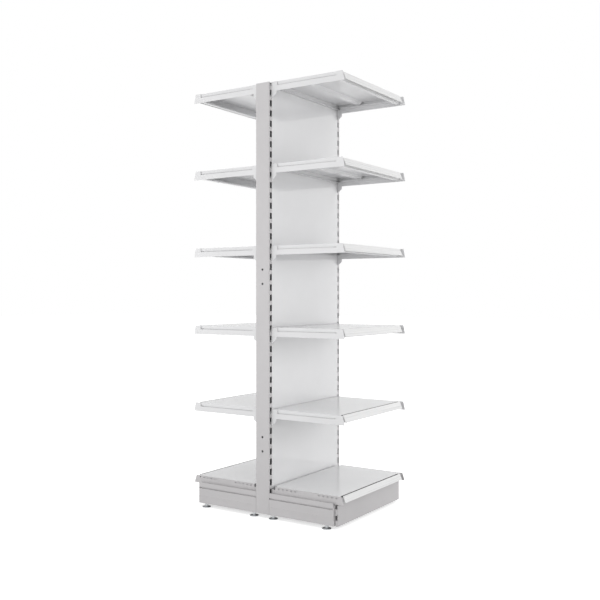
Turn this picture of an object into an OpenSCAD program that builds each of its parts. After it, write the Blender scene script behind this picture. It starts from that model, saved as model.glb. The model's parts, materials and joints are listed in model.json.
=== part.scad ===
// Double-sided shop gondola, one free-standing bay.
// Two slotted uprights are tied by crossbars and closed by back panels. Each side carries shelves on
// hook-in brackets above a base deck, which lies on two base legs with screw feet and a kick plate.
// X runs along the bay, Y across it and Z up. The origin is on the floor under the middle of the bay.
// The front side is -Y, the rear side is +Y, the left end is -X and the right end is +X.

/* [Bay] */
// Distance between the centre lines of the two uprights
bay_pitch = 640; // [560:10:1000]
// Distance from the middle of the bay to the front face of a shelf
shelf_reach = 422; // [380:1:520]
// Shelf levels hung on each side above the base deck
shelf_levels = 5; // [1:1:5]
// Slots from one shelf level to the next
level_slots = 8; // [4:1:8]
// Slots left free above the hooks of the highest shelf
free_slots = 0; // [0:1:4]

/* [Uprights] */
// Width of an upright along the bay
upright_w = 30; // [28:1:40]
// Depth of an upright across the bay
upright_d = 80; // [70:1:100]
// Wall of an upright
upright_wall = 2; // [1.5:0.1:2.4]
// Outer radius of an upright's corners
upright_corner = 3; // [2.5:0.5:4]
// Height of the lower end of the uprights and legs above the floor
ground_gap = 19; // [17:1:35]
// Height of the upper end of an upright's tube
upright_top = 2128; // [1950:1:2400]
// Distance from slot to slot
slot_pitch = 50; // [48:1:50]
// Height of a slot
slot_h = 30; // [26:1:34]
// Distance from an upright's centre line to the hooks of each of the two bays that share its slots
hook_column = 6; // [5:0.1:7]
// Gap between a hook and the end of its slot
slot_clearance = 0.5; // [0.3:0.1:1]
// Height of the middle of the lowest slot
slot_first_z = 77; // [74:1:85]
// Thickness of an upright's top cap
cap_t = 3; // [2:0.5:6]
// Depth of the cap's plug inside the tube
cap_plug_h = 12; // [6:1:20]
// Wall of the cap's plug
cap_plug_wall = 2; // [1.5:0.1:3]
// Clearance of the cap's plug in the tube
cap_clearance = 0.1; // [0:0.05:0.4]

/* [Crossbars] */
// Height of the middle of the lower crossbar
lower_bar_z = 360; // [300:5:600]
// Height of the middle of the middle crossbar
middle_bar_z = 1180; // [900:5:1500]
// Height of a crossbar's channel
bar_h = 40; // [30:1:50]
// Depth of a crossbar's channel across the bay
bar_d = 48; // [40:1:50]
// Wall of a crossbar's channel
bar_wall = 2; // [1.5:0.1:3]
// Thickness of a crossbar's end plate
bar_plate_t = 4; // [3:0.5:6]
// Height of a crossbar's end plate
bar_plate_h = 100; // [96:1:140]
// Distance between the two bolts of an end plate
bar_bolt_gap = 70; // [66:1:80]
// Diameter of a crossbar bolt
bolt_d = 6; // [5:0.5:7]
// Diameter of a bolt's socket head
bolt_head_d = 10; // [9:0.5:10.5]
// Height of a bolt's socket head
bolt_head_h = 6; // [4:0.5:8]
// Length of a bolt's shank
bolt_l = 14; // [10:1:18]
// Width of the hexagon socket in a bolt's head
bolt_socket = 5; // [4:0.5:6]
// Diameter of the weld nut behind each bolt hole
weld_nut_d = 12; // [10:0.5:14]
// Height of the weld nut
weld_nut_h = 6; // [5:0.5:8]
// Diameter of the holes in an upright's outer wall that let a bolt's head through
access_hole_d = 11; // [11:0.5:13]

/* [Back panels] */
// Sheet thickness of a back panel
panel_t = 1; // [0.8:0.1:2]
// Gap between a back panel's edge, which laps over the upright's face, and the brackets
panel_side_gap = 0.5; // [0.3:0.1:3]
// Depth of the folded edge round a back panel
panel_fold = 10; // [6:1:12]
// Gap between a back panel's folded edge and the uprights
panel_gap = 1; // [0.5:0.5:3]
// Height of the lower edge of a back panel
panel_bottom = 105; // [60:1:150]
// Distance from the upper end of the uprights down to a back panel
panel_top_gap = 2; // [0:1:20]
// Width of the hanger strip that a back panel rests on a crossbar with
hanger_w = 27; // [22:1:30]
// Thickness of the hanger strip
hanger_t = 2; // [1:0.5:3]

/* [Shelves] */
// Sheet thickness of shelves, base decks and kick plates
sheet_t = 1.2; // [0.8:0.1:2]
// Height of a shelf's top above the middle of its upper hook's slot
shelf_above_slot = 5; // [4:1:12]
// Height of a hung shelf's side
shelf_side_h = 16; // [12:1:22]
// Height of a shelf's front face
shelf_front_h = 40; // [36:1:42]
// Height of a shelf's rear fold
shelf_rear_h = 25; // [16:1:30]
// Width of the inward lips under the sides and the rear fold
shelf_lip = 12; // [8:1:20]
// Width of the inward lip under the front face
front_lip = 18; // [12:1:32]
// Height of the edge turned up behind the front lip
front_lip_edge = 8; // [4:1:12]
// Outer bend radius of a shelf's front edge
front_bend = 2; // [1.5:0.5:7]
// Gap between a hung shelf and the uprights' faces
shelf_rear_gap = 5; // [2:0.5:8]
// Gap between a base deck and the uprights' faces
base_rear_gap = 10; // [2:0.5:16]
// Gap between a shelf's end and the bracket beside it
shelf_end_gap = 1.5; // [0.5:0.5:3]
// Distance from the middle of the bay to the stiffener under a shelf
hat_y = 187; // [150:1:260]
// Width of the stiffener at the sheet
hat_w = 60; // [40:1:80]
// Depth of the stiffener
hat_h = 14; // [8:1:20]
// Gap from a shelf's end to the stiffener's end
hat_end_gap = 24; // [21:1:60]

/* [Brackets] */
// Plate thickness of a bracket
bracket_t = 3; // [2:0.5:3.5]
// Depth of a bracket below the shelf's top along its arm
bracket_h = 45; // [40:1:55]
// Depth of a bracket below the shelf's top at the upright
bracket_drop = 79; // [76:1:90]
// Length of the raised plate at the upright
bracket_root = 35; // [28:1:45]
// Width of the tab that goes down the upright below the arm
bracket_tab = 28; // [16:1:34]
// Height of the slanted edge at the tab's lower corner
bracket_slant = 20; // [8:1:20]
// Height of the groove between a shelf's side and the bracket's arm
bracket_groove = 3; // [1:0.5:4]
// Width of the tab's lower edge
bracket_foot = 4; // [1:1:8]
// Width of the ledge that a shelf lies on
ledge_w = 14; // [10:1:22]
// Thickness of the ledge
ledge_t = 2; // [1.5:0.1:3]
// Height of the step that joins the ledge to the plate
ledge_drop = 8; // [7:0.5:12]
// Gap between the step and the plate
ledge_gap = 3.5; // [2:0.5:5]
// Start of a bracket's nose behind the shelf's front face
nose_back = 12; // [8:1:20]
// Reach of the nose beyond the shelf's front face at the top
nose_top = 21; // [18:1:30]
// Reach of the nose beyond the shelf's front face at the bottom
nose_bottom = 31; // [29:1:40]
// Height of a hook's neck
hook_neck = 9; // [7:0.5:9]
// Length of a hook's tongue below its neck
hook_drop = 9; // [6:0.5:9]
// Thickness of a hook's tongue
hook_t = 6.5; // [4:0.5:8]
// Gap between a hook's tongue and the upright's wall
hook_gap = 0.5; // [0.3:0.1:1]

/* [Price rails] */
// Wall of a price rail
rail_t = 1.2; // [0.8:0.1:2]
// Height of a hung shelf's price rail
rail_h = 35; // [30:1:38]
// Height of a base deck's price rail
base_rail_h = 30; // [26:1:36]
// Depth of a rail's upper edge below the shelf's top
rail_edge = 1.4; // [1.4:0.1:3]
// Reach of a rail's slanted face beyond the shelf's front face at the top
rail_top = 11; // [8:1:14]
// Reach of a rail's slanted face beyond the shelf's front face at the bottom
rail_bottom = 25; // [20:1:27]
// Width of the lip under the face
rail_lip = 2; // [2:1:10]
// Drop of the lip towards the shelf
rail_lip_drop = 0; // [0:1:6]
// Depth of the rail's back below the shelf's top at its upper edge
rail_back_top = 20; // [7:0.5:24]
// Depth of the rail's back below the shelf's top at its lower edge
rail_back_bottom = 34; // [26:1:35]
// Distance from a shelf's end to the end of its price rail
rail_end_gap = 18; // [0:1:40]

/* [Base] */
// Height of a base deck's top
base_top = 155; // [154:1:180]
// Height of a base deck's side
base_side_h = 33; // [28:1:36]
// Distance from an upright's centre line to a leg's outer face
leg_overhang = 14; // [13:0.5:15]
// Height of a leg's outer web
leg_h = 106; // [100:1:110]
// Sheet thickness of a base leg
leg_t = 2; // [1.5:0.1:2.5]
// Gap between a leg's end and the kick plate's returns
leg_end_gap = 2; // [1:0.5:8]
// Gap between a leg and the lip under a base deck's front
lip_gap = 2; // [1:0.5:4]
// Width of the flange that a leg's end turns inwards behind the kick plate
end_flange = 35; // [20:1:60]
// Height of the groove's middle above the leg's lower edge
groove_z = 79; // [70:1:84]
// Height of the groove pressed along a leg's outer web
groove_h = 7; // [4:0.5:9]
// Depth of the groove
groove_d = 7; // [4:0.5:8]
// Height of the bead's middle above the leg's lower edge
bead_z = 36; // [24:1:48]
// Height of the bead pressed along a leg's outer web
bead_h = 4; // [2:0.5:6]
// How far the bead stands out
bead_out = 0.8; // [0.4:0.1:1]
// Distance from a shelf's front face back to the kick plate's face
kick_inset = 4; // [1:1:8]
// Height of the kick plate's lower edge
kick_bottom = 15; // [8:1:15]
// Height of a kick plate
kick_h = 98; // [90:1:98]
// Gap between a kick plate's end and the line where the next bay starts
kick_end_gap = 1; // [0.5:0.5:2]
// Outer bend radius of a kick plate's corners
kick_bend = 10; // [4:1:10]
// Length of a kick plate's return beside the leg
kick_return = 12; // [12:1:14]
// Height of the lug that a kick plate hangs on, at its upper face
lug_top = 73; // [60:1:80]
// Height of a lug
lug_h = 7; // [4:1:10]
// Width of a lug
lug_w = 6; // [4:1:8]
// Height of the notch round a lug
notch_h = 30; // [16:1:34]
// Reach of a lug into its notch
notch_d = 8; // [6:0.5:9]
// Width of the notches round a kick plate's corners, seen from the front
notch_w = 4.5; // [2:0.5:6]
// Height of the corner cut at the top of a kick plate's returns
corner_cut_h = 17; // [8:1:20]
// Holes in each row along a leg's upper edge
row_holes = 5; // [1:1:5]
// Distance from hole to hole in a row
row_pitch = 24; // [16:1:26]
// Distance from an upright's face to the first hole of the inner row
inner_row_gap = 44; // [40:1:80]
// Distance from a shelf's front face to the last hole of the outer row
outer_row_gap = 12; // [10:1:30]
// Width of a row hole
row_hole_w = 7; // [4:0.5:10]
// Height of a row hole
row_hole_h = 5; // [3:0.5:8]
// Depth of the row holes' middle below the leg's upper edge
row_hole_z = 8; // [6:0.5:14]
// Height of the hem along a base deck's side
hem_h = 4; // [3:0.5:5]
// Reach of a leg's nose beyond a shelf's front face at the top
base_nose_top = 15; // [13:1:20]
// Reach of a leg's nose beyond a shelf's front face at the bottom
base_nose_bottom = 28; // [27:1:32]
// Height of a leg's nose
base_nose_h = 38; // [37:0.5:39]
// Size of the notch in the corners of the base decks and the legs at the uprights
corner_notch = 14; // [6:1:20]

/* [Feet] */
// Distance from an upright's face to the foot beside it
inner_foot_gap = 18; // [16:1:50]
// Distance from a leg's end to the outer foot
outer_foot_gap = 42; // [34:1:100]
// Diameter of a foot's pad
pad_d = 45; // [36:1:60]
// Thickness of the pad at its rim
pad_rim = 4; // [3:0.5:6]
// Height of the pad's cone above its rim
pad_cone = 3; // [1:0.5:4]
// Diameter of the boss on the pad
boss_d = 15; // [14:0.5:20]
// Bevel round the pad's lower and upper rim
pad_bevel = 1; // [0.5:0.1:1.4]
// Diameter of a foot's stud
stud_d = 10; // [8:0.5:12]
// Height of a stud's upper end above the floor
stud_top = 51; // [47:1:65]
// Radial clearance of the studs and bolts in their threads
thread_clearance = 0.05; // [0.02:0.01:0.1]
// Width of a lock nut across its flats
nut_flats = 17; // [16:0.5:20]
// Height of a lock nut
nut_h = 8; // [6:0.5:8]
// Diameter of the weld nut on a leg's floor
leg_nut_d = 16; // [15:0.5:16]
// Height of the weld nut on a leg's floor
leg_nut_h = 8; // [6:0.5:12]

/* [Hidden] */
$fn = 48;
cut = 1;
grey_steel = "#d0cecf";
white_steel = "#ececed";
white_pvc = "#f1f1f1";
zinc = "#a9abad";
cap_plastic = "#d8d7d8";

// Places along the bay
upright_x = bay_pitch / 2;
upright_in = upright_x - upright_w / 2;
bracket_x = upright_x - hook_column;
slot_half = hook_column + bracket_t / 2 + slot_clearance;
bracket_in = bracket_x - bracket_t / 2;
shelf_half = bracket_in - shelf_end_gap;
base_half = bracket_x + bracket_t / 2;
kick_half = upright_x - kick_end_gap;
fold_half = upright_in - panel_gap;
panel_half = bracket_in - panel_side_gap;
leg_out = upright_x + leg_overhang;
leg_in = base_half - leg_t;
foot_x = (base_half + leg_out - leg_t) / 2;

// Places across the bay
upright_face = upright_d / 2;
upright_inside = upright_face - upright_wall;
shelf_rear = upright_face + shelf_rear_gap;
base_rear = upright_face + base_rear_gap;
lip_start = shelf_reach - front_lip;
panel_face = upright_face + panel_t;
hook_in = upright_inside - hook_gap - hook_t;
kick_reach = shelf_reach - kick_inset;
kick_rear = kick_reach - kick_return;
leg_reach = kick_rear - leg_end_gap;
foot_rows = [upright_face + inner_foot_gap, leg_reach - outer_foot_gap];

// Heights
slot_count = floor((upright_top - slot_first_z + slot_h / 2 - hook_neck) / slot_pitch) + 1;
leg_ledge_z = base_top - base_side_h;
end_flange_top = base_top - shelf_front_h - lip_gap;
panel_top = upright_top - panel_top_gap;
bar_heights = [lower_bar_z, middle_bar_z];

function slot_z(index) = slot_first_z + index * slot_pitch;
function level_slot(level) = slot_count - 1 - free_slots - (shelf_levels - level) * level_slots;
function shelf_top(level) = slot_z(level_slot(level)) + shelf_above_slot;

sides = ["front", "rear"];
ends = ["left", "right"];
spots = ["inner", "outer"];

// Shapes are drawn for the rear side and the right end, and mirrored to the others.
module on_side(side) {
    if (side == "front") {
        mirror([0, 1, 0]) children();
    } else {
        children();
    }
}

module on_end(end) {
    if (end == "left") {
        mirror([1, 0, 0]) children();
    } else {
        children();
    }
}

module both_ends() {
    for (end = ends) {
        on_end(end) children();
    }
}

// A box between two corners
module block(low, high) {
    translate(low) cube(high - low);
}

// A flat rectangle between two corners
module patch(low, high) {
    translate(low) square(high - low);
}

// A flat rectangle round the origin, with rounded corners
module rounded_patch(width, depth, radius) {
    square([width - 2 * radius, depth], center = true);
    square([width, depth - 2 * radius], center = true);
    for (x = [radius - width / 2, width / 2 - radius]) {
        for (y = [radius - depth / 2, depth / 2 - radius]) {
            translate([x, y]) circle(radius);
        }
    }
}

// Stretches a flat shape of Y and Z along the bay between two places
module along_bay(from, to) {
    translate([from, 0, 0]) rotate([90, 0, 90]) linear_extrude(to - from) children();
}

// Stretches a flat shape of X and Z across the bay between two places
module along_depth(from, to) {
    translate([0, to, 0]) rotate([90, 0, 0]) linear_extrude(to - from) children();
}

// The left-hand normal of the run from one point to another
function left_of(from, to) = [from.y - to.y, to.x - from.x] / norm(to - from);

// The way from a point of a line to the corner of a strip along it, for half the strip's thickness
function mitre(line, i, half) =
    let (before = left_of(line[max(i - 1, 0)], line[max(i, 1)]))
    let (after = left_of(line[min(i, len(line) - 2)], line[min(i + 1, len(line) - 1)]))
    (before + after) * half / (1 + before * after);

// A flat strip of even thickness along a line of points, with mitred corners
module strip(line, thickness) {
    last = len(line) - 1;
    polygon([
        for (i = [0:last]) line[i] + mitre(line, i, thickness / 2),
        for (i = [last:-1:0]) line[i] - mitre(line, i, thickness / 2)
    ]);
}

// A quarter ring in the corner between +X and +Y, around its own centre
module bend(radius, thickness) {
    intersection() {
        difference() {
            circle(radius);
            circle(radius - thickness);
        }
        square(radius);
    }
}

// Two hooks that pass through an upright's slots and hang behind its wall
module hooks(upper_slot) {
    for (index = [upper_slot - 1, upper_slot]) {
        rest_z = slot_z(index) - slot_h / 2;
        block([bracket_in, hook_in, rest_z], [bracket_in + bracket_t, upright_face, rest_z + hook_neck]);
        block([bracket_in, hook_in, rest_z - hook_drop], [bracket_in + bracket_t, hook_in + hook_t, rest_z]);
    }
}

module upright() {
    color(grey_steel)
    difference() {
        translate([upright_x, 0, ground_gap]) linear_extrude(upright_top - ground_gap) difference() {
            rounded_patch(upright_w, upright_d, upright_corner);
            rounded_patch(upright_w - 2 * upright_wall, upright_d - 2 * upright_wall,
                          upright_corner - upright_wall);
        }
        for (index = [0:slot_count - 1]) {
            block([upright_x - slot_half, -upright_face - cut, slot_z(index) - slot_h / 2],
                  [upright_x + slot_half, upright_face + cut, slot_z(index) + slot_h / 2]);
        }
        bolt_places() rotate([0, 90, 0]) {
            translate([0, 0, -cut]) cylinder(d = bolt_d + cut / 2, h = upright_w / 2);
            translate([0, 0, upright_w / 2]) cylinder(d = access_hole_d, h = upright_w);
        }
    }
}

// The bolts' places on the inner wall of the right upright
module bolt_places() {
    for (z = bar_heights) {
        for (z_step = [-1, 1]) {
            translate([upright_in, 0, z + z_step * bar_bolt_gap / 2]) children();
        }
    }
}

// A flat cap on the tube's end, notched over the slots, with a plug between the hooks
module upright_cap() {
    notch_y = hook_in - hook_gap;
    plug_x = upright_w / 2 - upright_wall - cap_clearance;
    plug_y = notch_y - hook_gap;
    color(cap_plastic)
    translate([upright_x, 0, upright_top]) {
        difference() {
            linear_extrude(cap_t) rounded_patch(upright_w, upright_d, upright_corner);
            for (wall = [-1, 1]) {
                translate([0, wall * (notch_y + upright_face), cap_t / 2])
                    cube([2 * slot_half, 2 * upright_face, 2 * cap_t], center = true);
            }
        }
        difference() {
            block([-plug_x, -plug_y, -cap_plug_h], [plug_x, plug_y, cap_t / 2]);
            block([cap_plug_wall - plug_x, cap_plug_wall - plug_y, -cap_plug_h - cut],
                  [plug_x - cap_plug_wall, plug_y - cap_plug_wall, 0]);
        }
    }
}

// A channel that is open below, with a bolted plate at each end
module crossbar(z) {
    plate_in = upright_in - bar_plate_t;
    color(grey_steel) {
        translate([0, 0, z]) {
            difference() {
                block([-plate_in, -bar_d / 2, -bar_h / 2], [plate_in, bar_d / 2, bar_h / 2]);
                block([-plate_in, bar_wall - bar_d / 2, -bar_h],
                      [plate_in, bar_d / 2 - bar_wall, bar_h / 2 - bar_wall]);
            }
            both_ends() {
                difference() {
                    union() {
                        block([plate_in, -bar_d / 2, -bar_plate_h / 2],
                              [upright_in, bar_d / 2, bar_plate_h / 2]);
                        for (z_step = [-1, 1]) {
                            translate([plate_in - weld_nut_h, 0, z_step * bar_bolt_gap / 2])
                                rotate([0, 90, 0]) cylinder(d = weld_nut_d, h = weld_nut_h + bar_plate_t / 2);
                        }
                    }
                    for (z_step = [-1, 1]) {
                        translate([plate_in - weld_nut_h - cut, 0, z_step * bar_bolt_gap / 2])
                            rotate([0, 90, 0])
                            cylinder(d = bolt_d + 2 * thread_clearance, h = weld_nut_h + bar_plate_t + 2 * cut);
                    }
                }
            }
        }
    }
}

// Socket-head bolts, each with its head inside the upright
module crossbar_bolts() {
    color(zinc)
    both_ends() {
        bolt_places() translate([upright_wall, 0, 0]) rotate([0, 90, 0]) {
            difference() {
                union() {
                    cylinder(d = bolt_head_d, h = bolt_head_h);
                    translate([0, 0, -bolt_l]) cylinder(d = bolt_d, h = bolt_l + bolt_head_h / 4);
                }
                translate([0, 0, bolt_head_h / 2])
                    cylinder(d = bolt_socket / cos(30), h = bolt_head_h, $fn = 6);
            }
        }
    }
}

// A sheet that laps over the uprights' faces, with a folded edge between them and strips that hang it on the
// crossbars
module back_panel() {
    color(white_steel) {
        block([-panel_half, upright_face, panel_bottom], [panel_half, panel_face, panel_top]);
        difference() {
            block([-fold_half, upright_face - panel_fold, panel_bottom], [fold_half, panel_face, panel_top]);
            block([panel_t - fold_half, upright_face - panel_fold - cut, panel_bottom + panel_t],
                  [fold_half - panel_t, upright_face, panel_top - panel_t]);
        }
        for (z = bar_heights) {
            block([2 * shelf_lip - fold_half, upright_face - hanger_w, z + bar_h / 2],
                  [fold_half - 2 * shelf_lip, panel_face - panel_t / 2, z + bar_h / 2 + hanger_t]);
        }
    }
}

// The outline of a shelf's side, of Y and Z below the shelf's top
module side_outline(rear, side_h) {
    patch([rear, -side_h], [shelf_reach - front_bend, 0]);
    patch([rear, -side_h], [shelf_reach, -front_bend]);
    translate([shelf_reach - front_bend, -front_bend]) circle(front_bend);
}

// The folded section of a shelf, of Y and Z below the shelf's top
module shelf_section(rear) {
    patch([rear, -sheet_t], [shelf_reach - front_bend, 0]);
    translate([shelf_reach - front_bend, -front_bend]) bend(front_bend, sheet_t);
    patch([shelf_reach - sheet_t, -shelf_front_h], [shelf_reach, -front_bend]);
    patch([lip_start, -shelf_front_h], [shelf_reach, sheet_t - shelf_front_h]);
    patch([lip_start, -shelf_front_h], [lip_start + sheet_t, front_lip_edge - shelf_front_h]);
    patch([rear, -shelf_rear_h], [rear + sheet_t, 0]);
    patch([rear, -shelf_rear_h], [rear + shelf_lip, sheet_t - shelf_rear_h]);
}

// The stiffener's section: a channel with sloping sides and a foot on each side
module hat_section() {
    slope = hat_h / 2;
    for (mirrored = [0, 1]) {
        translate([hat_y, 0]) mirror([mirrored, 0]) {
            polygon([
                [hat_w / 2, -sheet_t],
                [hat_w / 2, -2 * sheet_t],
                [hat_w / 2 - slope, -2 * sheet_t],
                [hat_w / 2 - 2 * slope, -sheet_t - hat_h],
                [0, -sheet_t - hat_h],
                [0, -hat_h],
                [hat_w / 2 - 2 * slope - sheet_t, -hat_h],
                [hat_w / 2 - slope - sheet_t, -sheet_t],
            ]);
        }
    }
}

// A folded shelf tray without its lower sides, with its top at Z 0
module tray(rear, side_h, lip_z) {
    along_bay(-shelf_half, shelf_half) shelf_section(rear);
    along_bay(hat_end_gap - shelf_half, shelf_half - hat_end_gap) hat_section();
    both_ends() {
        along_bay(shelf_half - sheet_t, shelf_half) side_outline(rear, side_h);
        block([shelf_half - shelf_lip, rear, lip_z], [shelf_half, lip_start, lip_z + sheet_t]);
    }
}

module shelf(level) {
    color(white_steel) translate([0, 0, shelf_top(level)]) tray(shelf_rear, shelf_side_h, -shelf_side_h);
}

// A deeper tray, whose sides stand inside a hem, with notched rear corners
module base_deck() {
    side_in = shelf_half - shelf_lip;
    notch_in = shelf_half - corner_notch;
    color(white_steel)
    translate([0, 0, base_top])
    difference() {
        union() {
            tray(base_rear, hem_h, -base_side_h);
            both_ends() block([side_in, base_rear, -base_side_h], [side_in + sheet_t, lip_start, 0]);
        }
        both_ends() block([notch_in, base_rear - cut, -corner_notch],
                          [shelf_half + cut, base_rear + corner_notch, cut]);
    }
}

// The outline of a bracket's plate, of Y and Z below the shelf's top
module bracket_outline() {
    root_end = upright_face + bracket_root;
    tab_end = upright_face + bracket_tab;
    nose_start = shelf_reach - nose_back;
    arm_top = -shelf_side_h - bracket_groove;
    polygon([
        [upright_face, 0],
        [root_end, 0],
        [root_end, arm_top],
        [nose_start, arm_top],
        [nose_start, 0],
        [shelf_reach + nose_top, 0],
        [shelf_reach + nose_bottom, -bracket_h],
        [tab_end, -bracket_h],
        [tab_end, bracket_slant - bracket_drop],
        [upright_face + bracket_foot, -bracket_drop],
        [upright_face, -bracket_drop],
    ]);
}

// The section of a bracket's ledge, of X and Z below the shelf's top: a strip that steps down to the plate
module ledge_section() {
    step_out = bracket_in - ledge_gap;
    step_low = -shelf_side_h - ledge_drop;
    patch([bracket_in - ledge_w, -shelf_side_h - ledge_t], [step_out, -shelf_side_h]);
    patch([step_out - ledge_t, step_low], [step_out, -shelf_side_h]);
    patch([step_out - ledge_t, step_low], [bracket_x, step_low + ledge_t]);
}

// A left and a right bracket, each a hooked plate with a ledge for the shelf
module bracket_pair(level) {
    ledge_start = upright_face + bracket_root;
    ledge_end = lip_start - nose_back;
    color(white_steel)
    both_ends() {
        translate([0, 0, shelf_top(level)]) {
            along_bay(bracket_in, bracket_in + bracket_t) bracket_outline();
            along_depth(ledge_start, ledge_end) ledge_section();
        }
        hooks(level_slot(level));
    }
}

// A label holder against a shelf's front face: back, shoulder, slanted face and lower lip
module price_rail(top_z, face_h) {
    half = shelf_half - rail_end_gap;
    back_y = shelf_reach + rail_t / 2;
    slant = (rail_bottom - rail_top) / rail_h;
    shoulder = [shelf_reach + rail_top, -rail_edge];
    sill = [shelf_reach + rail_top + slant * face_h, -face_h];
    back_low = [back_y, -rail_back_bottom];
    back_high = [back_y, -rail_back_top];
    lip_end = sill - [rail_lip, rail_lip_drop];
    color(white_pvc)
    translate([0, 0, top_z])
        along_bay(-half, half) strip([back_low, back_high, shoulder, sill, lip_end], rail_t);
}

// The section of a leg's trough, of X and height above the leg's lower edge: a floor, and an outer web with a
// pressed groove and a bead
module trough_section() {
    web = leg_out - leg_t;
    groove_low = groove_z - groove_h / 2;
    groove_high = groove_z + groove_h / 2;
    patch([leg_in, 0], [leg_out, leg_t]);
    patch([web, 0], [leg_out, groove_low]);
    patch([leg_out - groove_d - leg_t, groove_low - leg_t], [leg_out, groove_low]);
    patch([leg_out - groove_d - leg_t, groove_low - leg_t], [leg_out - groove_d, groove_high + leg_t]);
    patch([leg_out - groove_d - leg_t, groove_high], [leg_out, groove_high + leg_t]);
    patch([web, groove_high], [leg_out, leg_h]);
    patch([web, bead_z - bead_h / 2], [leg_out + bead_out, bead_z + bead_h / 2]);
}

// The outline of a leg's inner web, of Y and Z: up to the deck's top, with a nose beside the price rail
module inner_web_outline() {
    notch_y = base_rear + corner_notch;
    nose_low = base_top - base_nose_h;
    polygon([
        [upright_face, ground_gap],
        [upright_face, base_top - corner_notch],
        [notch_y, base_top - corner_notch],
        [notch_y, base_top],
        [shelf_reach + base_nose_top, base_top],
        [shelf_reach + base_nose_bottom, nose_low],
        [leg_reach, nose_low],
        [leg_reach, ground_gap],
    ]);
}

// The cutter of one hole along a leg's upper edge
module row_hole(y) {
    translate([base_half, y, base_top - row_hole_z]) cube([4 * leg_t, row_hole_w, row_hole_h], center = true);
}

// A leg: a trough, a tall inner web with a ledge for the deck and two rows of holes, an end flange, hooks,
// weld nuts, and a lug for the kick plate
module base_leg() {
    root_end = upright_face + bracket_root;
    color(grey_steel)
    difference() {
        union() {
            translate([0, 0, ground_gap]) along_depth(upright_face, leg_reach) trough_section();
            along_bay(leg_in, base_half) inner_web_outline();
            block([leg_in - ledge_w, root_end, leg_ledge_z - leg_t],
                  [base_half, lip_start - lip_gap, leg_ledge_z]);
            block([leg_in - end_flange, leg_reach - leg_t, ground_gap],
                  [leg_out, leg_reach, end_flange_top]);
            block([bracket_in, upright_face, ground_gap], [base_half, root_end, leg_ledge_z]);
            hooks(1);
            block([kick_half - lug_w, leg_reach - leg_t / 2, lug_top - lug_h],
                  [kick_half, kick_rear + notch_d, lug_top]);
            foot_places() translate([0, 0, ground_gap + leg_t / 2])
                cylinder(d = leg_nut_d, h = leg_nut_h + leg_t / 2);
        }
        foot_places() translate([0, 0, ground_gap - cut])
            cylinder(d = stud_d + 2 * thread_clearance, h = leg_t + leg_nut_h + 2 * cut);
        for (index = [0:row_holes - 1]) {
            row_hole(upright_face + inner_row_gap + index * row_pitch);
            row_hole(shelf_reach - outer_row_gap - index * row_pitch);
        }
    }
}

// The places of the two feet under a leg
module foot_places() {
    for (y = foot_rows) {
        translate([foot_x, y, 0]) children();
    }
}

// One lock nut under each leg's floor, round each stud
module foot_lock_nuts() {
    color(zinc)
    for (side = sides) {
        on_side(side) both_ends() foot_places() translate([0, 0, ground_gap - nut_h]) difference() {
            cylinder(d = nut_flats / cos(30), h = nut_h, $fn = 6);
            translate([0, 0, -cut]) cylinder(d = stud_d + 2 * thread_clearance, h = nut_h + 2 * cut);
        }
    }
}

// A round pad with a cone, and a boss up to the lock nut, on a threaded stud
module foot(y) {
    cone_top = pad_rim + pad_cone;
    boss_top = ground_gap - nut_h;
    color(zinc)
    translate([foot_x, y, 0]) rotate_extrude() polygon([
        [0, 0],
        [pad_d / 2 - pad_bevel, 0],
        [pad_d / 2, pad_bevel],
        [pad_d / 2, pad_rim - pad_bevel],
        [pad_d / 2 - pad_bevel, pad_rim],
        [boss_d / 2, cone_top],
        [boss_d / 2, boss_top],
        [stud_d / 2, boss_top],
        [stud_d / 2, stud_top - pad_bevel],
        [stud_d / 2 - pad_bevel, stud_top],
        [0, stud_top],
    ]);
}

// A sheet with rounded corners and a return at each end, notched round the legs' lugs
module kick_plate() {
    flat_half = kick_half - kick_bend;
    bend_y = kick_reach - kick_bend;
    kick_top = kick_bottom + kick_h;
    notch_in = kick_half - notch_w;
    color(grey_steel)
    difference() {
        translate([0, 0, kick_bottom]) linear_extrude(kick_h) {
            patch([-flat_half, kick_reach - sheet_t], [flat_half, kick_reach]);
            for (end = ends) {
                on_end(end) {
                    translate([flat_half, bend_y]) bend(kick_bend, sheet_t);
                    patch([kick_half - sheet_t, kick_rear], [kick_half, bend_y]);
                }
            }
        }
        both_ends() {
            block([notch_in, kick_rear - cut, lug_top - notch_h], [kick_half + cut, kick_reach + cut, lug_top]);
            block([notch_in, kick_rear - cut, kick_top - corner_cut_h],
                  [kick_half + cut, kick_reach + cut, kick_top + cut]);
        }
    }
}

for (end = ends) {
    on_end(end) upright();
    on_end(end) upright_cap();
}
crossbar(lower_bar_z);  // lower_crossbar
crossbar(middle_bar_z);  // middle_crossbar
crossbar_bolts();
foot_lock_nuts();
for (side = sides) {
    on_side(side) back_panel();
    on_side(side) kick_plate();
    on_side(side) base_deck();
    on_side(side) price_rail(base_top, base_rail_h);
    for (end = ends) {
        on_side(side) on_end(end) base_leg();
        for (spot = [0, 1]) {
            foot_name = str(side, "_", end, "_", spots[spot], "_foot");
            on_side(side) on_end(end) foot(foot_rows[spot]);
        }
    }
    for (level = [1:shelf_levels]) {
        on_side(side) bracket_pair(level);
        on_side(side) shelf(level);
        on_side(side) price_rail(shelf_top(level), rail_h);
    }
}
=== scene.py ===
import json
import math

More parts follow.
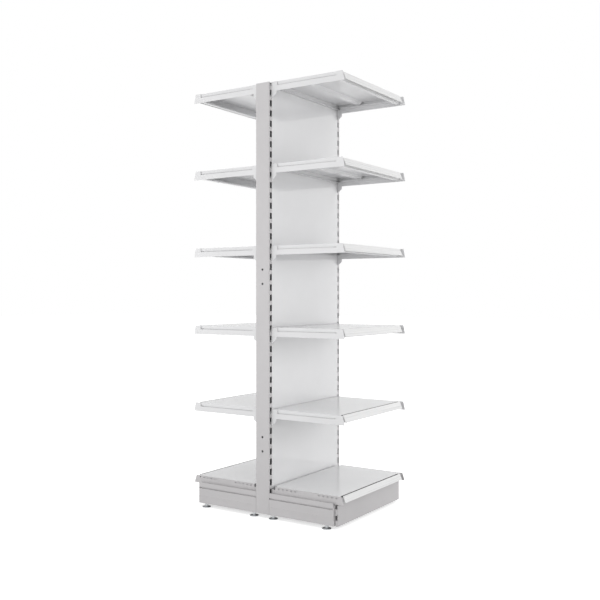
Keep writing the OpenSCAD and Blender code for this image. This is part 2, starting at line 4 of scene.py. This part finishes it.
import bpy
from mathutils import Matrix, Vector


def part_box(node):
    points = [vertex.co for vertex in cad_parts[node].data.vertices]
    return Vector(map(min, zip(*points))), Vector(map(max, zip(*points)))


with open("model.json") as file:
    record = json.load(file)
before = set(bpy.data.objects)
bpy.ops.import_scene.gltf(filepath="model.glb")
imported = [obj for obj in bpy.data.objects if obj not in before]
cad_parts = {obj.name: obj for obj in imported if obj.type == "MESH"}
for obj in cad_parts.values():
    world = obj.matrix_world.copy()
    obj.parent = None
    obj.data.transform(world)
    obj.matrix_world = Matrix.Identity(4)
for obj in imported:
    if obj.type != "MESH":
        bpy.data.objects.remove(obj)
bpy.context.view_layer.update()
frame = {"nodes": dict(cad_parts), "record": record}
nodes = frame["nodes"]

# Depths below an upright's outer faces, for the masks of its painted inside tone: where it starts in a hole, just short
# of the 2 mm wall's inner face, and past the 3 mm corner radius
PATCH_EDGE = 0.0004
NEAR_INSIDE = 0.0018
PAST_CORNER = 0.0035
# The painted shade band behind a price rail: its middle below the shelf's top, half its width, and how near to the
# shelf's front face counts as on it
SHADE_BAND_DROP = 0.006
SHADE_BAND_HALF = 0.005
SHADE_BAND_NEAR = 0.0003
# Painted shade in seams and gaps: the widest gap that gets it, the open share of the view at which it is darkest and at
# which it ends, and the share of the colour that is left where it is darkest
SEAM_WIDTH = 0.015
SEAM_DARKEST = 0.15
SEAM_UNSHADED = 0.6
STEEL_SEAM = 0.75
PVC_SEAM = 0.9
# Coats of paint: two tones, the range of roughness, the strength of the orange peel and the IOR. That of the gloss coat
# is above a real paint's, to match how clearly the panels mirror the shelves.
GREY_COAT = {"pale": "#C9C7C8", "deep": "#C5C3C4", "rough": (0.34, 0.46), "peel_height": 0.06, "ior": 1.5}
WHITE_COAT = {"pale": "#E2E2E3", "deep": "#DFDFE0", "rough": (0.16, 0.24), "peel_height": 0.03, "ior": 1.5}
GLOSS_COAT = {"pale": "#E5E5E6", "deep": "#E2E2E3", "rough": (0.03, 0.06), "peel_height": 0.01, "ior": 2.0}
# Studio, in metres and watts
FLOOR_SIZE = 60
FLOOR_DROP = 0.0005
FLOOR_GLOW = 0.6
SKY_LEVEL = 0.80
WHITE = (1, 1, 1, 1)
UNIT_MIDDLE = (0, 0, 1.2)
SIDE_BOX_SIZE = 2.5
SIDE_BOXES = (
    ("right_front_soft_box", (3.4, -4.2, 1.3), 105),
    ("left_soft_box", (-5.2, 0.3, 1.3), 82),
    ("right_soft_box", (5.2, 0.6, 1.0), 75),
)
FLOOR_BOX_SIZE = 1.6
FLOOR_BOX_HEIGHT = 0.02
OVERHEAD = 3.0
FLOOR_BOXES = (
    ("left_floor_soft_box", (-2.2, -2.0), 12),
    ("front_floor_soft_box", (0.8, -2.4), 12),
    ("rear_floor_soft_box", (-1.0, 2.4), 52),
)
# The camera: level, at chest height, off the left end of the front side
CAMERA_PLACE = (-3.6397, -2.3993, 1.100)
CAMERA_TURN = math.radians(-56.6)
CAMERA_LENS = 50
CAMERA_SENSOR = 36
CAMERA_SHIFT = -0.0115


# Colours and materials

def hex_colour(code):
    """An sRGB hex value as linear RGBA."""
    channels = [int(code[i:i + 2], 16) / 255 for i in (1, 3, 5)]
    linear = [c / 12.92 if c <= 0.04045 else ((c + 0.055) / 1.055) ** 2.4 for c in channels]
    return (*linear, 1.0)


def add_node(tree, kind, links=(), inputs=None, **settings):
    """Adds a node with its settings, its socket values and its links (source, output, input)."""
    made = tree.nodes.new(kind)
    for name, value in settings.items():
        setattr(made, name, value)
    for name, value in (inputs or {}).items():
        made.inputs[name].default_value = value
    for source, output, name in links:
        tree.links.new(source.outputs[output], made.inputs[name])
    return made


def new_material(name):
    """An empty node material, with its output node."""
    material = bpy.data.materials.new(name)
    material.use_nodes = True
    material.node_tree.nodes.clear()
    return material, material.node_tree, material.node_tree.nodes.new("ShaderNodeOutputMaterial")


def per_metre(millimetres):
    """The scale of a noise whose features are that many millimetres wide."""
    return 1000 / millimetres


def join_masks(tree, masks, operation):
    """One mask out of several: MAXIMUM is 1 where any of them is 1, MULTIPLY where all are."""
    joined = masks[0]
    for mask in masks[1:]:
        joined = add_node(tree, "ShaderNodeMath", [(joined, 0, 0), (mask, 0, 1)], operation=operation)
    return joined


def overlay_patch(material, mask, overlay):
    """Lets the overlay surface take the coat's place where the mask is 1. In this script the overlays are painted shade
    and painted light.
    """
    tree = material.node_tree
    output = next(made for made in tree.nodes if made.type == "OUTPUT_MATERIAL")
    coat = output.inputs["Surface"].links[0].from_node
    mix = add_node(tree, "ShaderNodeMixShader", [(mask, 0, 0), (coat, 0, 1), (overlay, 0, 2)])
    tree.links.new(mix.outputs[0], output.inputs["Surface"])


def painted_seam_shade(tree, tone, darkest):
    """Painted shade: the tone, darkened down to its darkest share in narrow seams and gaps, where little of the view is
    open.
    """
    open_sky = add_node(tree, "ShaderNodeAmbientOcclusion", inputs={"Distance": SEAM_WIDTH}, samples=6)
    seam_darkening = add_node(tree, "ShaderNodeMapRange", [(open_sky, "AO", "Value")],
                     {"From Min": SEAM_DARKEST, "From Max": SEAM_UNSHADED, "To Min": darkest, "To Max": 1.0})
    return add_node(tree, "ShaderNodeVectorMath", [(tone, "Color", "Vector"), (seam_darkening, "Result", "Scale")],
                    operation="SCALE")


def powder_coat(name, pale, deep, rough, peel_height, ior):
    """Powder-coated sheet steel, sprayed and baked: an even gloss with a fine orange peel, and a faint cloudiness in
    the tone where the coat is thicker."""
    material, tree, output = new_material(name)
    place = add_node(tree, "ShaderNodeTexCoord")
    # Cloudiness of the coat, about 180 mm wide
    cloud = add_node(tree, "ShaderNodeTexNoise", [(place, "Object", "Vector")],
                     {"Scale": per_metre(180), "Detail": 3.0, "Roughness": 0.55})
    tone = add_node(tree, "ShaderNodeValToRGB", [(cloud, "Fac", "Fac")])
    tone.color_ramp.elements[0].position = 0.32
    tone.color_ramp.elements[0].color = hex_colour(deep)
    tone.color_ramp.elements[1].position = 0.68
    tone.color_ramp.elements[1].color = hex_colour(pale)
    # Orange peel is about 1.5 mm wide on the real coat, drawn at 4 mm so that it shows
    peel = add_node(tree, "ShaderNodeTexNoise", [(place, "Object", "Vector")],
                    {"Scale": per_metre(4), "Detail": 2.0, "Roughness": 0.5})
    gloss = add_node(tree, "ShaderNodeMapRange", [(peel, "Fac", "Value")],
                     {"From Min": 0.3, "From Max": 0.7, "To Min": rough[0], "To Max": rough[1]})
    relief = add_node(tree, "ShaderNodeBump", [(peel, "Fac", "Height")],
                      {"Strength": peel_height, "Distance": 0.0003})
    # Painted shade: the tone is darkened in seams and gaps by an occlusion node
    seam_shaded_tone = painted_seam_shade(tree, tone, STEEL_SEAM)
    shader = add_node(tree, "ShaderNodeBsdfPrincipled",
                      [(seam_shaded_tone, "Vector", "Base Color"), (gloss, "Result", "Roughness"), (relief, "Normal", "Normal")],
                      {"Metallic": 0.0, "IOR": ior})
    tree.links.new(shader.outputs["BSDF"], output.inputs["Surface"])
    return material


def coated_tube(name, coat, inner_pale, inner_deep):
    """Roll-formed steel tube, powder-coated outside. Its inside and the walls of its slots and holes take another tone,
    seen
    through the slots: dark grey is painted shade that darkens them, near white is painted light that makes them pale."""
    material = powder_coat(name, **coat)
    tree = material.node_tree
    place = add_node(tree, "ShaderNodeTexCoord")
    axes = add_node(tree, "ShaderNodeSeparateXYZ", [(place, "Object", "Vector")])
    tube_low, tube_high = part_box("right_upright")
    middle = (tube_low.x + tube_high.x) / 2
    half_width = (tube_high.x - tube_low.x) / 2
    half_depth = (tube_high.y - tube_low.y) / 2
    side = add_node(tree, "ShaderNodeMath", [(axes, "X", 0)], operation="ABSOLUTE")
    # The inside of the tube, the walls of the slots and the walls of the round holes
    patches = []
    for width_in, depth_in in ((NEAR_INSIDE, NEAR_INSIDE), (PAST_CORNER, PATCH_EDGE), (PATCH_EDGE, PAST_CORNER)):
        across = add_node(tree, "ShaderNodeMath", [(side, 0, 0)],
                          {1: middle, 2: half_width - width_in}, operation="COMPARE")
        along = add_node(tree, "ShaderNodeMath", [(axes, "Y", 0)],
                         {1: 0.0, 2: half_depth - depth_in}, operation="COMPARE")
        patches.append(join_masks(tree, (across, along), "MULTIPLY"))
    # Mottle of the painted inside tone, in patches about 20 mm wide
    scale = add_node(tree, "ShaderNodeTexNoise", [(place, "Object", "Vector")],
                     {"Scale": per_metre(20), "Detail": 4.0, "Roughness": 0.6})
    inside_tone = add_node(tree, "ShaderNodeValToRGB", [(scale, "Fac", "Fac")])
    inside_tone.color_ramp.elements[0].position = 0.3
    inside_tone.color_ramp.elements[0].color = hex_colour(inner_deep)
    inside_tone.color_ramp.elements[1].position = 0.7
    inside_tone.color_ramp.elements[1].color = hex_colour(inner_pale)
    painted_inside = add_node(tree, "ShaderNodeBsdfPrincipled", [(inside_tone, "Color", "Base Color")],
                           {"Metallic": 0.0, "Roughness": 0.7, "IOR": 1.45})
    # Painted shade in the left tube and painted light in the right one: the inside tone replaces the coat inside and on
    # the slot and hole walls
    overlay_patch(material, join_masks(tree, patches, "MAXIMUM"), painted_inside)
    return material


def shaded_rail_gap_shelf(name, coat):
    """Powder-coated shelf sheet. Its front face carries a dark grey band behind its price rail: painted shade, which
    shows as a dark line along the rail's upper edge."""
    material = powder_coat(name, **coat)
    tree = material.node_tree
    place = add_node(tree, "ShaderNodeTexCoord")
    axes = add_node(tree, "ShaderNodeSeparateXYZ", [(place, "Object", "Vector")])
    shelf_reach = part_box("rear_base_deck")[1].y
    rail_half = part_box("rear_base_price_rail")[1].x
    depth = add_node(tree, "ShaderNodeMath", [(axes, "Y", 0)], operation="ABSOLUTE")
    on_face = add_node(tree, "ShaderNodeMath", [(depth, 0, 0)],
                       {1: shelf_reach, 2: SHADE_BAND_NEAR}, operation="COMPARE")
    behind_rail = add_node(tree, "ShaderNodeMath", [(axes, "X", 0)],
                           {1: 0.0, 2: rail_half}, operation="COMPARE")
    strips = []
    for shelf in ("rear_base_deck", *(f"rear_shelf_{level}" for level in range(1, 6))):
        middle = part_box(shelf)[1].z - SHADE_BAND_DROP
        strips.append(add_node(tree, "ShaderNodeMath", [(axes, "Z", 0)],
                               {1: middle, 2: SHADE_BAND_HALF}, operation="COMPARE"))
    shade_band = join_masks(tree, (join_masks(tree, strips, "MAXIMUM"), on_face, behind_rail), "MULTIPLY")
    # Mottle in the painted shade band, 1 mm wide
    band_noise = add_node(tree, "ShaderNodeTexNoise", [(place, "Object", "Vector")],
                     {"Scale": per_metre(1), "Detail": 2.0, "Roughness": 0.5})
    band_tone = add_node(tree, "ShaderNodeValToRGB", [(band_noise, "Fac", "Fac")])
    # Painted shade: dark greys for the shadowed gap along the rail's upper edge
    band_tone.color_ramp.elements[0].color = hex_colour("#585858")
    band_tone.color_ramp.elements[1].color = hex_colour("#6C6C6C")
    painted_gap_shade = add_node(tree, "ShaderNodeBsdfPrincipled", [(band_tone, "Color", "Base Color")],
                    {"Metallic": 0.0, "Roughness": 0.9, "IOR": 1.45})
    overlay_patch(material, shade_band, painted_gap_shade)
    return material


def extruded_pvc(name):
    """Extruded rigid PVC, white through and through: a soft gloss with fine drawing lines along its length from the
    die."""
    material, tree, output = new_material(name)
    place = add_node(tree, "ShaderNodeTexCoord")
    # Drawing lines are about 0.5 mm apart across the strip, drawn at 3 mm so that they show, and half a metre long
    stretch = add_node(tree, "ShaderNodeMapping", [(place, "Object", "Vector")],
                       {"Scale": (per_metre(500), per_metre(3), per_metre(3))})
    lines = add_node(tree, "ShaderNodeTexNoise", [(stretch, "Vector", "Vector")],
                     {"Scale": 1.0, "Detail": 2.0, "Roughness": 0.5})
    gloss = add_node(tree, "ShaderNodeMapRange", [(lines, "Fac", "Value")],
                     {"From Min": 0.3, "From Max": 0.7, "To Min": 0.24, "To Max": 0.36})
    tint = add_node(tree, "ShaderNodeValToRGB", [(lines, "Fac", "Fac")])
    tint.color_ramp.elements[0].position = 0.35
    tint.color_ramp.elements[0].color = hex_colour("#E1E1E1")
    tint.color_ramp.elements[1].position = 0.65
    tint.color_ramp.elements[1].color = hex_colour("#E7E7E7")
    # Painted shade: the tint is darkened a little in seams and gaps by an occlusion node
    seam_shaded_tone = painted_seam_shade(tree, tint, PVC_SEAM)
    shader = add_node(tree, "ShaderNodeBsdfPrincipled",
                      [(seam_shaded_tone, "Vector", "Base Color"), (gloss, "Result", "Roughness")],
                      {"Metallic": 0.0, "IOR": 1.53})
    tree.links.new(shader.outputs["BSDF"], output.inputs["Surface"])
    return material


def zinc_plate(name):
    """Zinc-plated steel, passivated: a cool pale grey metal with a satin sheen and a cloudy spangle."""
    material, tree, output = new_material(name)
    place = add_node(tree, "ShaderNodeTexCoord")
    # Spangle about 6 mm wide
    spangle = add_node(tree, "ShaderNodeTexNoise", [(place, "Object", "Vector")],
                       {"Scale": per_metre(6), "Detail": 4.0, "Roughness": 0.6})
    tone = add_node(tree, "ShaderNodeValToRGB", [(spangle, "Fac", "Fac")])
    tone.color_ramp.elements[0].position = 0.3
    tone.color_ramp.elements[0].color = hex_colour("#C4C6C8")
    tone.color_ramp.elements[1].position = 0.7
    tone.color_ramp.elements[1].color = hex_colour("#D6D8DA")
    gloss = add_node(tree, "ShaderNodeMapRange", [(spangle, "Fac", "Value")],
                     {"From Min": 0.3, "From Max": 0.7, "To Min": 0.4, "To Max": 0.55})
    shader = add_node(tree, "ShaderNodeBsdfPrincipled",
                      [(tone, "Color", "Base Color"), (gloss, "Result", "Roughness")], {"Metallic": 1.0})
    tree.links.new(shader.outputs["BSDF"], output.inputs["Surface"])
    return material


def moulded_polypropylene(name):
    """Moulded polypropylene: matt, with the fine spark-eroded grain of its mould."""
    material, tree, output = new_material(name)
    place = add_node(tree, "ShaderNodeTexCoord")
    # Grain is about 0.3 mm wide, drawn at 1.5 mm so that it shows
    grain = add_node(tree, "ShaderNodeTexNoise", [(place, "Object", "Vector")],
                     {"Scale": per_metre(1.5), "Detail": 2.0, "Roughness": 0.6})
    tone = add_node(tree, "ShaderNodeValToRGB", [(grain, "Fac", "Fac")])
    tone.color_ramp.elements[0].color = hex_colour("#D3D2D3")
    tone.color_ramp.elements[1].color = hex_colour("#DCDBDC")
    relief = add_node(tree, "ShaderNodeBump", [(grain, "Fac", "Height")], {"Strength": 0.2, "Distance": 0.0002})
    shader = add_node(tree, "ShaderNodeBsdfPrincipled",
                      [(tone, "Color", "Base Color"), (relief, "Normal", "Normal")],
                      {"Metallic": 0.0, "IOR": 1.49, "Roughness": 0.6})
    tree.links.new(shader.outputs["BSDF"], output.inputs["Surface"])
    return material


finishes = {
    "grey_steel": powder_coat("grey_powder_coated_steel", **GREY_COAT),
    "white_steel": powder_coat("white_powder_coated_steel", **WHITE_COAT),
    "white_pvc": extruded_pvc("white_extruded_pvc"),
    "zinc_steel": zinc_plate("zinc_plated_steel"),
    "cap_plastic": moulded_polypropylene("moulded_polypropylene"),
}
gloss_sheet = powder_coat("gloss_white_powder_coated_sheet", **GLOSS_COAT)
# The shelves' sheet has a painted shade band behind each price rail
shelf_sheet = shaded_rail_gap_shelf("white_powder_coated_shelf", WHITE_COAT)
own_finishes = {
    # Inside the tubes: painted shade in the left one for its dark slots, painted light in the right one for its pale
    # slots
    "left_upright": coated_tube("grey_coated_tube_painted_shade_inside", GREY_COAT, "#8A8B8D", "#767779"),
    "right_upright": coated_tube("grey_coated_tube_painted_light_inside", GREY_COAT, "#FAFAFA", "#F6F6F6"),
}
for part in frame["record"]["subparts"]:
    name = part["node"]
    finish = finishes[part["material_slot"]]
    if name.endswith("_back_panel"):
        finish = gloss_sheet
    elif name.endswith("_base_deck") or "_shelf_" in name:
        finish = shelf_sheet
    nodes[name].data.materials.clear()
    nodes[name].data.materials.append(own_finishes.get(name, finish))


# Studio

def background_rays(tree):
    """Two nodes: 1 for rays off gloss and through clear pieces, and 1 for these and the camera's own. They are the
    rays that see the plain background."""
    rays = add_node(tree, "ShaderNodeLightPath")
    shiny = add_node(tree, "ShaderNodeMath",
                     [(rays, "Is Glossy Ray", 0), (rays, "Is Transmission Ray", 1)], operation="MAXIMUM")
    seen = add_node(tree, "ShaderNodeMath",
                    [(rays, "Is Camera Ray", 0), (shiny, 0, 1)], operation="MAXIMUM")
    return shiny, seen


def studio_floor():
    """A wide white floor that keeps a soft shadow, otherwise looks as white as the background, and is plain white in
    reflections."""
    bpy.ops.mesh.primitive_plane_add(size=FLOOR_SIZE, location=(0, 0, -FLOOR_DROP))
    floor = bpy.context.object
    floor.name = "studio_floor"
    material, tree, output = new_material("white_studio_floor")
    shiny, seen = background_rays(tree)
    paper = add_node(tree, "ShaderNodeBsdfDiffuse", inputs={"Color": hex_colour("#ACACAC")})
    shade = add_node(tree, "ShaderNodeBsdfDiffuse", inputs={"Color": hex_colour("#F2F2F2")})
    glow = add_node(tree, "ShaderNodeEmission", inputs={"Color": WHITE, "Strength": FLOOR_GLOW})
    sweep = add_node(tree, "ShaderNodeAddShader", [(shade, 0, 0), (glow, 0, 1)])
    plain = add_node(tree, "ShaderNodeEmission", inputs={"Color": WHITE, "Strength": 1.0})
    shown = add_node(tree, "ShaderNodeMixShader", [(shiny, 0, 0), (sweep, 0, 1), (plain, 0, 2)])
    mix = add_node(tree, "ShaderNodeMixShader", [(seen, 0, 0), (paper, 0, 1), (shown, 0, 2)])
    tree.links.new(mix.outputs[0], output.inputs["Surface"])
    floor.data.materials.append(material)


def studio_sky(level):
    """An even white dome, seen as plain white."""
    world = bpy.data.worlds.new("studio_sky")
    world.use_nodes = True
    tree = world.node_tree
    tree.nodes.clear()
    seen = background_rays(tree)[1]
    dome = add_node(tree, "ShaderNodeBackground", inputs={"Color": WHITE, "Strength": level})
    white = add_node(tree, "ShaderNodeBackground", inputs={"Color": WHITE, "Strength": 1.0})
    mix = add_node(tree, "ShaderNodeMixShader", [(seen, 0, 0), (dome, 0, 1), (white, 0, 2)])
    sky_output = add_node(tree, "ShaderNodeOutputWorld")
    tree.links.new(mix.outputs[0], sky_output.inputs["Surface"])
    bpy.context.scene.world = world


def soft_box(name, place, aim, size, watts):
    """A square studio lamp turned towards a point."""
    bpy.ops.object.light_add(type="AREA", location=place)
    lamp = bpy.context.object
    lamp.name = name
    lamp.data.size = size
    lamp.data.energy = watts
    lamp.visible_camera = False
    lamp.visible_glossy = False
    reach = [a - p for a, p in zip(aim, place)]
    flat = math.hypot(reach[0], reach[1])
    lamp.rotation_euler = (math.atan2(flat, -reach[2]), 0, math.atan2(reach[1], reach[0]) - math.pi / 2)


bpy.ops.object.select_all(action="DESELECT")
studio_floor()
studio_sky(SKY_LEVEL)
for box_name, box_place, box_watts in SIDE_BOXES:
    soft_box(box_name, box_place, UNIT_MIDDLE, SIDE_BOX_SIZE, box_watts)
for box_name, box_spot, box_watts in FLOOR_BOXES:
    soft_box(box_name, (*box_spot, FLOOR_BOX_HEIGHT), (*box_spot, OVERHEAD), FLOOR_BOX_SIZE, box_watts)

bpy.ops.object.camera_add(location=CAMERA_PLACE, rotation=(math.pi / 2, 0, CAMERA_TURN))
camera = bpy.context.object
camera.data.lens = CAMERA_LENS
camera.data.sensor_width = CAMERA_SENSOR
camera.data.shift_y = CAMERA_SHIFT
bpy.context.scene.camera = camera
bpy.context.scene.view_settings.view_transform = "Standard"
